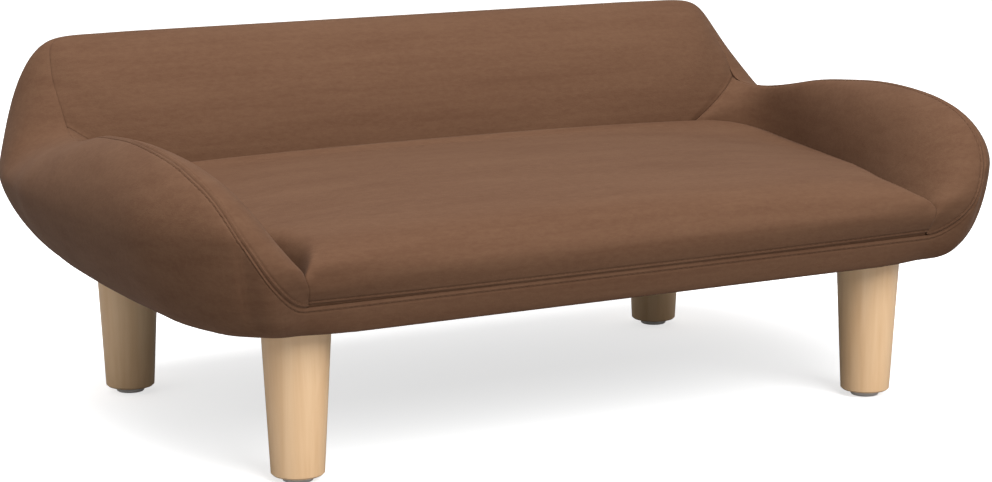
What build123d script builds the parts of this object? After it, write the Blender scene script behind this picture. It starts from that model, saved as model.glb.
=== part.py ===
# Low upholstered sofa bed for a dog: a plywood frame with foam and fabric on four screwed-in legs.
# Frame: X across the width, -Y is the open front, +Z up, origin on the floor under the centre.
import os
from math import cos, pi, sin

from build123d import *

os.makedirs("parts", exist_ok=True)

# Overall sizes
body_width = 700.0
body_depth = 450.0
top_height = 268.0
leg_top_height = 106.0

# Upholstery heights above the floor
bulge_height = 174.0
arm_height = 222.0
seat_crown_height = 183.0
seat_edge_height = 162.0
lip_seam_height = 127.0

# Plan of the flat underside, set in from the widest line
side_overhang = 62.0
front_overhang = 24.0
rear_overhang = 38.0
sole_front_radius = 74.0
sole_rear_radius = 88.0

# Arms
arm_width = 70.0
arm_length = 318.0
arm_foot_width = 8.0

# Backrest
backrest_edge_y = 148.0
backrest_foot_y = 75.0
backrest_edge_inset = 65.0
rear_corner_width = 136.0

# Fabric and foam
cover_thickness = 1.2
foam_clearance = 0.3
hem_width = 30.0
dust_cover_thickness = 0.6
dust_cover_margin = 12.0

# Frame boards
base_board_thickness = 12.0
base_edge_gap = 5.0
side_board_thickness = 9.0
arm_board_length = 190.0
arm_board_front_y = -150.0
arm_board_foot_height = 117.0
arm_board_top_height = 193.0
arm_board_radius = 40.0
back_board_width = 470.0
back_board_y = 165.0
back_board_top_margin = 25.0
back_board_radius = 30.0
batten_size = 20.0
back_batten_length = 420.0
arm_batten_length = 155.0
arm_batten_front_y = -120.0
arm_batten_foot_height = 111.0

# Legs
leg_spread = 472.0
leg_front_y = -159.0
leg_rear_y = 128.0
leg_top_radius = 23.5
leg_bottom_radius = 18.0
leg_rim_bevel = 1.2
glide_height = 4.4
glide_radius = 10.5
glide_rounding = 1.5
glide_recess_depth = 1.6

# Fasteners
bolt_diameter = 8.0
bolt_length = 54.0
bolt_length_in_leg = 38.0
bolt_bevel = 0.8
bolt_hole_clearance = 0.4
nut_barrel_radius = 5.5
nut_barrel_length = 10.0
nut_flange_radius = 11.0
nut_flange_thickness = 1.5
nut_pocket_clearance = 0.5
nut_pocket_depth = 3.0
nail_shank_diameter = 2.5
nail_head_diameter = 6.0
nail_head_thickness = 1.0
nail_length = 18.0
nail_head_clearance = 0.3
screw_shank_diameter = 4.0
screw_head_diameter = 8.0
screw_head_height = 3.0
batten_screw_length = 30.0
board_screw_length = 24.0
staple_width = 10.0
staple_wire = 0.9
staple_crown_thickness = 0.5
staple_leg_length = 8.0
staple_edge_distance = 5.0

# Seams of the fabric
rear_seam_width = 428.0
face_seam_depth = 3.0
cut_clearance = 1.0

# Shares of the sizes above
flank_power_share = 1.5
flank_root_share = 0.335
flank_level_shares = (0.03, 0.12, 0.3, 0.6, 1.0)
crest_share = 0.45
crest_turn_shares = (0.333, 0.667, 1.0)
inner_turn_shares = (0.35, 0.7, 1.0)
inner_foot_share = 0.1
edge_reach_share = 0.25
rear_bow_shares = ((0.0, 0.25), (0.17, 0.62), (0.55, 0.92))
lean_start_share = 0.42
lip_reach_share = 0.33
arm_screw_shares = (0.15, 0.5, 0.85)
back_screw_shares = (-0.4, -0.13, 0.13, 0.4)
board_screw_rise_share = 0.33
front_staple_shares = (-0.92, -0.7, -0.46, -0.24, 0.0, 0.24, 0.46, 0.7, 0.92)
side_staple_shares = (0.05, 0.27, 0.5, 0.73, 0.95)

# Heights and places that follow from the sizes
sole_height = leg_top_height + dust_cover_thickness
board_bottom = sole_height + cover_thickness
board_top = board_bottom + base_board_thickness
half_width = body_width / 2
front_y = -body_depth / 2
rear_y = body_depth / 2
sole_half_width = half_width - side_overhang
sole_front_y = front_y + front_overhang
sole_rear_y = rear_y - rear_overhang
front_lip_y = sole_front_y - lip_reach_share * front_overhang
base_half_width = sole_half_width - base_edge_gap
backrest_edge_half = half_width - backrest_edge_inset
back_board_top_height = top_height - back_board_top_margin
arm_board_inner_x = base_half_width + batten_size
foam_inset = cover_thickness + foam_clearance
overrun = body_width

# Upright slices through an arm, front to back: where along the arm; inner face, widest line and edge
# of the flat underside as shares of the arm's width in from its outer side; top and underside as
# shares of the heights; how far the slice follows the cover inwards at the round front.
arm_slice_shares = (
    (0.000, 1.06, 0.84, 0.95, 0.47, 0.62, 1.0),
    (0.009, 1.22, 0.72, 0.97, 0.59, 0.45, 1.0),
    (0.022, 1.34, 0.58, 1.03, 0.69, 0.24, 0.9),
    (0.047, 1.38, 0.46, 1.12, 0.79, 0.09, 0.7),
    (0.085, 1.38, 0.35, 1.24, 0.85, 0.00, 0.4),
    (0.126, 1.35, 0.25, 1.20, 0.90, 0.00, 0.2),
    (0.180, 1.30, 0.15, 1.06, 0.945, 0.00, 0.0),
    (0.240, 1.24, 0.08, 0.95, 0.975, 0.00, 0.0),
    (0.390, 1.09, 0.00, 0.886, 1.00, 0.00, 0.0),
    (0.550, 0.93, 0.00, 0.886, 0.995, 0.00, 0.0),
    (0.730, 0.79, 0.00, 0.886, 0.945, 0.00, 0.0),
    (0.860, 0.82, 0.00, 0.886, 0.87, 0.00, 0.0),
    (1.000, 0.90, 0.00, 0.886, 0.86, 0.00, 0.0),
)

# Level slices through the backrest, bottom to top: height as a share from underside to top edge;
# front face as a share of its lean; half width at the front face and at the widest place as shares
# from the backrest edge's half width to the body's; rear face as a share from the sole to the rear.
backrest_slice_shares = (
    (0.000, 0.000, 0.05, 0.05, 0.00),
    (0.015, 0.000, 0.25, 0.25, 0.25),
    (0.090, 0.000, 0.60, 0.60, 0.58),
    (0.240, 0.000, 0.85, 0.85, 0.85),
    (0.420, 0.000, 0.98, 0.98, 0.985),
    (0.520, 0.035, 0.80, 0.92, 0.98),
    (0.630, 0.130, 0.32, 0.79, 0.90),
    (0.740, 0.280, 0.12, 0.66, 0.74),
    (0.850, 0.480, 0.06, 0.47, 0.44),
    (0.940, 0.720, 0.03, 0.25, 0.04),
    (1.000, 0.970, -0.07, 0.00, -0.60),
)

# Upright slices through the seat, front to back: where along the seat; half width as a share of the
# body's; side and crown as shares of the edge and crown heights; underside; how far the slice
# follows the cover inwards at the round front.
seat_slice_shares = (
    (0.000, 0.735, 0.52, 0.42, 0.26, 1.0),
    (0.008, 0.737, 0.66, 0.56, 0.10, 1.0),
    (0.030, 0.738, 0.82, 0.74, 0.00, 0.8),
    (0.075, 0.742, 0.95, 0.88, 0.00, 0.4),
    (0.160, 0.757, 1.00, 0.96, 0.00, 0.0),
    (0.380, 0.797, 1.00, 1.00, 0.00, 0.0),
    (0.640, 0.850, 1.00, 1.00, 0.00, 0.0),
    (0.860, 0.850, 1.02, 0.99, 0.00, 0.0),
    (1.100, 0.835, 1.06, 0.98, 0.00, 0.0),
)

# Line of the seam round an arm's front, seen from the front: shares of the arm's width in from the
# side, and of the height from the lip seam to the arm's top.
nose_seam_shares = (
    (1.37, 0.00), (1.10, 0.11), (0.95, 0.22), (0.83, 0.37), (0.69, 0.56), (0.58, 0.72), (0.50, 0.93)
)

# Line of the seam along an arm's top, seen from above: shares of the arm's width in from the side,
# and of the arm's length from its front.
crest_seam_shares = ((0.50, 0.23), (0.50, 0.35), (0.63, 0.67), (0.78, 1.00), (0.78, 1.16))


def mirrored(shape):
    """The same piece on the other side of the middle plane."""
    return mirror(shape, about=Plane.YZ)


def block(low, high):
    """Box between two opposite corners."""
    size = [b - a for a, b in zip(low, high)]
    middle = [(a + b) / 2 for a, b in zip(low, high)]
    return Pos(*middle) * Box(*size)


def upright(radius, place, bottom, top):
    """Upright cylinder at a place in plan, between two heights."""
    x, y = place
    return Pos(x, y, bottom) * Cylinder(radius, top - bottom, align=(Align.CENTER, Align.CENTER, Align.MIN))


def prism_along(direction, points, length):
    """Straight block along a direction from a closed outline."""
    return extrude(make_face(Polyline(*points, close=True)), amount=length, dir=direction)


def biggest(shape):
    """The largest solid of a cut, without the slivers that two close surfaces leave."""
    return max(shape.solids(), key=lambda solid: solid.volume)


def leg_places():
    """Plan positions of the four legs."""
    x = leg_spread / 2
    return {
        "front_left": (-x, leg_front_y),
        "front_right": (x, leg_front_y),
        "rear_left": (-x, leg_rear_y),
        "rear_right": (x, leg_rear_y),
    }


def flank_share(level):
    """How far the skin stands out at a share of the height from the sole to the widest line."""
    return (1 - abs(1 - level) ** flank_power_share) ** flank_root_share


def arm_slice(shares, inset):
    """Upright slice through the right arm, drawn in from its skin by inset."""
    along, inner, outer, edge, top, low, turn = shares
    y = front_y + along * arm_length + turn * inset
    inner_x = half_width - inner * arm_width + inset
    outer_x = half_width - outer * arm_width - inset
    low_z = sole_height + low * (bulge_height - sole_height) + inset
    top_z = sole_height + top * (arm_height - sole_height) - inset
    bulge_z = min(bulge_height, (low_z + top_z) / 2)
    crest_x = inner_x + crest_share * (outer_x - inner_x)
    edge_x = half_width - edge * arm_width - inset
    edge_x = min(edge_x, outer_x - edge_reach_share * (outer_x - crest_x))
    points = [(edge_x, y, low_z)]
    for level in flank_level_shares:
        x = edge_x + flank_share(level) * (outer_x - edge_x)
        points.append((x, y, low_z + level * (bulge_z - low_z)))
    for turn_share in crest_turn_shares:
        angle = turn_share * pi / 2
        x = crest_x + cos(angle) * (outer_x - crest_x)
        points.append((x, y, bulge_z + sin(angle) * (top_z - bulge_z)))
    foot_z = bulge_z + inner_foot_share * (top_z - bulge_z)
    for turn_share in inner_turn_shares:
        angle = turn_share * pi / 2
        x = crest_x - sin(angle) * (crest_x - inner_x)
        points.append((x, y, foot_z + cos(angle) * (top_z - foot_z)))
    skin = Spline(*points[1:])
    corner = (min(inner_x, edge_x - arm_foot_width), y, low_z)
    return Wire([Line(corner, points[0]), Line(*points[:2]), skin, Line(points[-1], corner)])


def arm_form(inset):
    """Right arm from its round front to the backrest, drawn in by inset."""
    return Solid.make_loft([arm_slice(shares, inset) for shares in arm_slice_shares], ruled=True)


def backrest_slice(shares, inset):
    """Level slice through the backrest with a straight front and round rear corners."""
    level, lean, front_half, wide_half, rear = shares
    z = sole_height + inset + level * (top_height - sole_height - 2 * inset)
    face_y = backrest_foot_y + lean * (backrest_edge_y - backrest_foot_y) + inset
    front_x = backrest_edge_half + front_half * backrest_edge_inset - inset
    wide_x = backrest_edge_half + wide_half * backrest_edge_inset - inset
    back_y = sole_rear_y + rear * rear_overhang - inset
    corner_x = half_width - rear_corner_width - inset
    points = [(front_x, face_y, z)]
    for across, deep in rear_bow_shares:
        points.append((wide_x - across * (wide_x - corner_x), face_y + deep * (back_y - face_y), z))
    points.append((corner_x, back_y, z))
    right = Spline(*points)
    left = Spline(*[(-x, y, z) for x, y, z in reversed(points)])
    front = Line((-front_x, face_y, z), (front_x, face_y, z))
    back = Line((corner_x, back_y, z), (-corner_x, back_y, z))
    return Wire([front, right, back, left])


def backrest_form(inset):
    """Backrest with its rounded rear corners, drawn in by inset."""
    slices = [backrest_slice(shares, inset) for shares in backrest_slice_shares]
    return Solid.make_loft(slices, ruled=True)


def seat_slice(shares, inset):
    """Upright slice across the seat with a crowned top."""
    along, half, side, crown, low, turn = shares
    y = front_lip_y + along * (backrest_foot_y - front_lip_y) + turn * inset
    half_x = half * half_width
    low_z = sole_height + low * (seat_edge_height - sole_height) + inset
    side_z = sole_height + side * (seat_edge_height - sole_height) - inset
    crown_z = sole_height + crown * (seat_crown_height - sole_height) - inset
    top = ThreePointArc((half_x, y, side_z), (0, y, crown_z), (-half_x, y, side_z))
    corners = [(-half_x, y, side_z), (-half_x, y, low_z), (half_x, y, low_z), (half_x, y, side_z)]
    return Wire([top] + [Line(start, end) for start, end in zip(corners, corners[1:])])


def seat_form(inset):
    """Seat from its rounded front lip to the backrest, drawn in by inset."""
    return Solid.make_loft([seat_slice(shares, inset) for shares in seat_slice_shares], ruled=True)


def body_form(inset):
    """The whole upholstered body, drawn in by inset."""
    arm = arm_form(inset)
    return backrest_form(inset) + arm + mirrored(arm) + seat_form(inset)


def sole_plate(margin, bottom, top):
    """Flat plate that follows the outline of the underside at a margin inside its edge."""
    half_x = sole_half_width - margin
    low_y = sole_front_y + margin
    high_y = sole_rear_y - margin
    front_radius = sole_front_radius - margin
    rear_radius = sole_rear_radius - margin
    corners = [(-half_x, low_y), (half_x, low_y), (half_x, high_y), (-half_x, high_y)]
    radii = [front_radius, front_radius, rear_radius, rear_radius]
    outline = FilletPolyline(*corners, radius=radii, close=True)
    return Pos(0, 0, bottom) * extrude(make_face(outline), amount=top - bottom)


def leg(place):
    """Turned, tapered wooden leg with a bore for its bolt and a bore for the glide's nail."""
    x, y = place
    height = leg_top_height - glide_height
    stem = Cone(leg_bottom_radius, leg_top_radius, height, align=(Align.CENTER, Align.CENTER, Align.MIN))
    stem = chamfer(stem.edges().sort_by(Axis.Z)[0], leg_rim_bevel)
    stem = Pos(x, y, glide_height) * stem
    stem -= upright(bolt_diameter / 2, place, leg_top_height - bolt_length_in_leg, leg_top_height)
    return stem - nail(place)


def glide(place):
    """Round plastic glide with a recess for the head of its nail."""
    disc = upright(glide_radius, place, 0, glide_height)
    disc = fillet(disc.edges().sort_by(Axis.Z)[0], glide_rounding)
    recess = nail_head_diameter / 2 + nail_head_clearance
    disc -= upright(recess, place, 0, glide_recess_depth)
    return disc - nail(place)


def nail(place):
    """Nail whose head lies in the glide's recess and whose shank runs into the leg."""
    head_bottom = glide_recess_depth - nail_head_thickness
    head = upright(nail_head_diameter / 2, place, head_bottom, glide_recess_depth)
    return head + upright(nail_shank_diameter / 2, place, head_bottom, head_bottom + nail_length)


def hanger_bolt(place):
    """Headless bolt, half of it in the leg and half in the tee nut."""
    bottom = leg_top_height - bolt_length_in_leg
    shank = upright(bolt_diameter / 2, place, bottom, bottom + bolt_length)
    return chamfer(shank.edges().filter_by(GeomType.CIRCLE).sort_by(Axis.Z)[-1], bolt_bevel)


def tee_nut(place):
    """Threaded barrel in the base board with a flange on the board's top."""
    barrel = upright(nut_barrel_radius, place, board_top - nut_barrel_length, board_top)
    flange = upright(nut_flange_radius, place, board_top, board_top + nut_flange_thickness)
    bore = upright(bolt_diameter / 2, place, board_bottom, board_top + nut_pocket_depth)
    return barrel + flange - bore


def nut_pocket(place):
    """Room in the foam over a tee nut."""
    return upright(nut_flange_radius + nut_pocket_clearance, place, board_top, board_top + nut_pocket_depth)


def countersunk_screw(head_place, direction, length):
    """Countersunk screw from the middle of its head's face along a direction."""
    bottom = (Align.CENTER, Align.CENTER, Align.MIN)
    head = Cone(screw_head_diameter / 2, screw_shank_diameter / 2, screw_head_height, align=bottom)
    shank = Cylinder(screw_shank_diameter / 2, length - screw_shank_diameter, align=bottom)
    tip = Pos(0, 0, length - screw_shank_diameter) * Cone(
        screw_shank_diameter / 2, 0, screw_shank_diameter, align=bottom
    )
    return Plane(origin=head_place, z_dir=direction) * (head + shank + tip)


def arm_screws(head_x, height, length):
    """Row of screws through the side of the right arm's batten, and its mirror image."""
    row = []
    for share in arm_screw_shares:
        y = arm_batten_front_y + share * arm_batten_length
        screw = countersunk_screw((head_x, y, height), (-1, 0, 0), length)
        row += [screw, mirrored(screw)]
    return row


def back_screw_xs():
    """Places across the back batten where its screws sit."""
    return [share * back_batten_length for share in back_screw_shares]


def batten_screws():
    """Screws that hold the battens to the base board."""
    height = arm_batten_foot_height + screw_head_diameter / 2 + bolt_hole_clearance
    screws = arm_screws(base_half_width + batten_size, height, batten_screw_length)
    y = back_board_y - batten_size / 2
    for x in back_screw_xs():
        screws.append(countersunk_screw((x, y, board_bottom), (0, 0, 1), batten_screw_length))
    return screws


def board_screws():
    """Screws that hold the arm boards and the back board to their battens."""
    height = arm_board_foot_height + board_screw_rise_share * batten_size
    screws = arm_screws(arm_board_inner_x + side_board_thickness, height, board_screw_length)
    y = back_board_y + side_board_thickness
    for x in back_screw_xs():
        place = (x + batten_size, y, board_top + batten_size / 2)
        screws.append(countersunk_screw(place, (0, -1, 0), board_screw_length))
    return screws


def arm_board():
    """Upright board inside the right arm with a rounded upper front corner."""
    rear = arm_board_front_y + arm_board_length
    board = block(
        (arm_board_inner_x, arm_board_front_y, arm_board_foot_height),
        (arm_board_inner_x + side_board_thickness, rear, arm_board_top_height),
    )
    upper = board.edges().filter_by(Axis.X).group_by(Axis.Z)[-1]
    return fillet(upper.sort_by(Axis.Y)[0], arm_board_radius)


def back_board():
    """Upright board inside the backrest with rounded upper corners."""
    half = back_board_width / 2
    board = block(
        (-half, back_board_y, board_top),
        (half, back_board_y + side_board_thickness, back_board_top_height),
    )
    return fillet(board.edges().filter_by(Axis.Y).group_by(Axis.Z)[-1], back_board_radius)


def arm_batten():
    """Batten on the side edge of the base board, which carries the arm board."""
    return block(
        (base_half_width, arm_batten_front_y, arm_batten_foot_height),
        (base_half_width + batten_size, arm_batten_front_y + arm_batten_length,
         arm_batten_foot_height + batten_size),
    )


def back_batten():
    """Batten on top of the base board, which carries the back board."""
    half = back_batten_length / 2
    return block(
        (-half, back_board_y - batten_size, board_top),
        (half, back_board_y, board_top + batten_size),
    )


def staple(x, y, along_x):
    """Staple from below through the dust cover and the turned-in fabric into the base board."""
    half = staple_width / 2
    wire = staple_wire / 2
    crown_bottom = leg_top_height - staple_crown_thickness
    crown = block((-half, -wire, crown_bottom), (half, wire, leg_top_height))
    prongs = []
    for end in (-half + wire, half - wire):
        low = (end - wire, -wire, leg_top_height)
        prongs.append(block(low, (end + wire, wire, leg_top_height + staple_leg_length)))
    shape = crown + prongs[0] + prongs[1]
    return Pos(x, y, 0) * (shape if along_x else Rot(0, 0, 90) * shape)


def staples():
    """Staples round the edge of the dust cover."""
    inset = dust_cover_margin + staple_edge_distance
    half_x = sole_half_width - inset
    low_y = sole_front_y + inset
    high_y = sole_rear_y - inset
    row_half = sole_half_width - sole_rear_radius
    row = []
    for share in front_staple_shares:
        x = share * row_half
        row += [staple(x, low_y, True), staple(x, high_y, True)]
    side_low = sole_front_y + sole_front_radius
    side_high = sole_rear_y - sole_rear_radius
    for share in side_staple_shares:
        y = side_low + share * (side_high - side_low)
        row += [staple(half_x, y, False), staple(-half_x, y, False)]
    return row


def inside_front():
    """Space above the front seam and between the arm seams, where the seat and arm covers lie."""
    seam_rise = arm_height - lip_seam_height
    front_line = []
    for inward, up in nose_seam_shares:
        front_line.append((half_width - inward * arm_width, -overrun, lip_seam_height + up * seam_rise))
    front_line.append((front_line[-1][0], -overrun, overrun))
    top_line = []
    for inward, along in crest_seam_shares:
        top_line.append((half_width - inward * arm_width, front_y + along * arm_length, lip_seam_height))
    front_outline = front_line + [(-x, y, z) for x, y, z in reversed(front_line)]
    top_outline = top_line + [(-x, y, z) for x, y, z in reversed(top_line)]
    nose_depth = overrun + top_line[0][1]
    return prism_along((0, 1, 0), front_outline, nose_depth) + prism_along((0, 0, 1), top_outline, overrun)


def backrest_face_space():
    """Space in front of the backrest's front seam line, between the backrest's end edges."""
    edge_y = backrest_edge_y + face_seam_depth
    foot_y = backrest_foot_y + face_seam_depth
    half = backrest_edge_half + cut_clearance
    lean = edge_y - foot_y
    lean_height = sole_height + lean_start_share * (top_height - sole_height)
    rise = top_height - lean_height
    points = [
        (-half, -overrun, 0),
        (-half, foot_y, 0),
        (-half, foot_y, lean_height),
        (-half, edge_y, top_height),
        (-half, edge_y + lean, top_height + rise),
        (-half, -overrun, top_height + rise),
    ]
    return prism_along((1, 0, 0), points, 2 * half)


def write(name, shape):
    """Write one node."""
    export_step(shape, f"parts/{name}.step")


def group(shapes):
    """Several equal pieces in one node."""
    return Compound(shapes)


places = leg_places()
bolts = [hanger_bolt(place) for place in places.values()]
nuts = [tee_nut(place) for place in places.values()]
pockets = [nut_pocket(place) for place in places.values()]
screws_in_battens = batten_screws()
screws_in_boards = board_screws()
staple_row = staples()

# Legs with their glides
for side, place in places.items():
    write(f"leg_{side}", leg(place))
    write(f"glide_{side}", glide(place))
write("glide_nails", group([nail(place) for place in places.values()]))
write("hanger_bolts", group(bolts))
write("tee_nuts", group(nuts))

# Frame
base_board = sole_plate(base_edge_gap, board_bottom, board_top)
for place in places.values():
    base_board -= upright(nut_barrel_radius, place, board_top - nut_barrel_length, board_top)
    base_board -= upright(bolt_diameter / 2 + bolt_hole_clearance, place, board_bottom, board_top)
for fastener in screws_in_battens + staple_row:
    base_board -= fastener
arm_board_right = arm_board()
arm_batten_right = arm_batten()
back_board_panel = back_board()
back_batten_bar = back_batten()
for fastener in screws_in_boards:
    arm_board_right -= fastener
    back_board_panel -= fastener
for fastener in screws_in_boards + screws_in_battens:
    arm_batten_right -= fastener
    back_batten_bar -= fastener
write("base_board", base_board)
write("arm_board_right", arm_board_right)
write("arm_board_left", mirrored(arm_board_right))
write("back_board", back_board_panel)
write("arm_batten_right", arm_batten_right)
write("arm_batten_left", mirrored(arm_batten_right))
write("back_batten", back_batten_bar)
write("batten_screws", group(screws_in_battens))
write("board_screws", group(screws_in_boards))

# Foam round the frame
base_solid = sole_plate(base_edge_gap, board_bottom, board_top)
seat_foam = seat_form(foam_inset) - backrest_form(foam_inset - foam_clearance) - base_solid
backrest_foam = backrest_form(foam_inset) - base_solid - back_board() - back_batten()
for pocket in pockets:
    seat_foam -= pocket
    backrest_foam -= pocket
arm_foam = arm_form(foam_inset) - backrest_form(foam_inset - foam_clearance)
arm_foam = arm_foam - seat_form(foam_inset - foam_clearance) - base_solid - arm_board() - arm_batten()
arm_foam_right = biggest(arm_foam)
seat_foam = biggest(seat_foam - arm_batten() - mirrored(arm_batten()))
write("seat_foam", seat_foam)
write("backrest_foam", biggest(backrest_foam))
write("arm_foam_right", arm_foam_right)
write("arm_foam_left", mirrored(arm_foam_right))

# Fabric covers
skin = body_form(0) - body_form(cover_thickness)
skin -= sole_plate(hem_width, leg_top_height, board_bottom + cover_thickness / 2)
backrest_zone = backrest_form(-cut_clearance)
front_zone = inside_front() - backrest_zone
face_zone = backrest_face_space() & backrest_zone
seat_zone = seat_form(-cut_clearance)
seam_half = rear_seam_width / 2
rear_zone = block((-seam_half, backrest_edge_y + face_seam_depth, 0), (seam_half, overrun, overrun))
outer_cover = biggest(skin - front_zone - face_zone - rear_zone)
rear_cover = biggest((skin & rear_zone) - face_zone)
backrest_cover = biggest(skin & face_zone)
front_skin = skin & front_zone
seat_cover = biggest(front_skin & seat_zone)
arm_covers = front_skin - seat_zone
arm_cover_right = biggest(arm_covers & block((0, -overrun, 0), (overrun, overrun, overrun)))
for fastener in staple_row:
    outer_cover -= fastener
    rear_cover -= fastener
write("outer_cover", outer_cover)
write("rear_cover", rear_cover)
write("backrest_cover", backrest_cover)
write("seat_cover", seat_cover)
write("arm_cover_right", arm_cover_right)
write("arm_cover_left", mirrored(arm_cover_right))

# Underside
dust_cover = sole_plate(dust_cover_margin, leg_top_height, sole_height)
for place in places.values():
    dust_cover -= upright(bolt_diameter / 2 + bolt_hole_clearance, place, leg_top_height, sole_height)
for fastener in staple_row:
    dust_cover -= fastener
write("dust_cover", dust_cover)
write("staples", group(staple_row))
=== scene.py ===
"""Looks of the low upholstered sofa bed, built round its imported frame."""

from math import cos, hypot, pi, radians, sin

import bmesh
import bpy
import numpy as np
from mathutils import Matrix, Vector


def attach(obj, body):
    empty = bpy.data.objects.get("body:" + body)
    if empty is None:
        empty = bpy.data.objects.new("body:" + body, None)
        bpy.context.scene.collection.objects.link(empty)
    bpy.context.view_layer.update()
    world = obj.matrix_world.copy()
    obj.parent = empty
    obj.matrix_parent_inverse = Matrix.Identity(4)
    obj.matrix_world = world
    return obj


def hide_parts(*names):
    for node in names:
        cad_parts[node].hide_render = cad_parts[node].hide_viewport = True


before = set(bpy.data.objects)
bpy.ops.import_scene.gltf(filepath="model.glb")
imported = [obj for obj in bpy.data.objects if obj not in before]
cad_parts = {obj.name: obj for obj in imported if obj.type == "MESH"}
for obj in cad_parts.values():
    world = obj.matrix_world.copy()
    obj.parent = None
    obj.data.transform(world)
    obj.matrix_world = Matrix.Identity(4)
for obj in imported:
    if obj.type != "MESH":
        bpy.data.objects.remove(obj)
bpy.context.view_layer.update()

MM = 0.001
TINY = 1e-9
SIDES = (("right", 1.0), ("left", -1.0))

# Plan of the flat underside and the heights of the body, in millimetres
SOLE_Z = 106.4
BULGE_Z = 174.0
SOLE_HALF = 288.0
SOLE_FRONT = -201.0
SOLE_REAR = 186.6
FRONT_CORNER = (214.0, -126.0)
FRONT_RADIUS = 74.0
REAR_CORNER = (214.0, 96.5)
REAR_AXES = (74.0, 90.0)
HEM_WIDTH = 30.0

# Where the seams of the rear panel meet the seam of the backrest's edge, which lies above this height
REAR_SEAM_X = 214.0
BACK_EDGE_FROM = 250.0

# Bend of the outer cover's profile between the underside and the widest line
FLANK_POWER = 1.5

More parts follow.
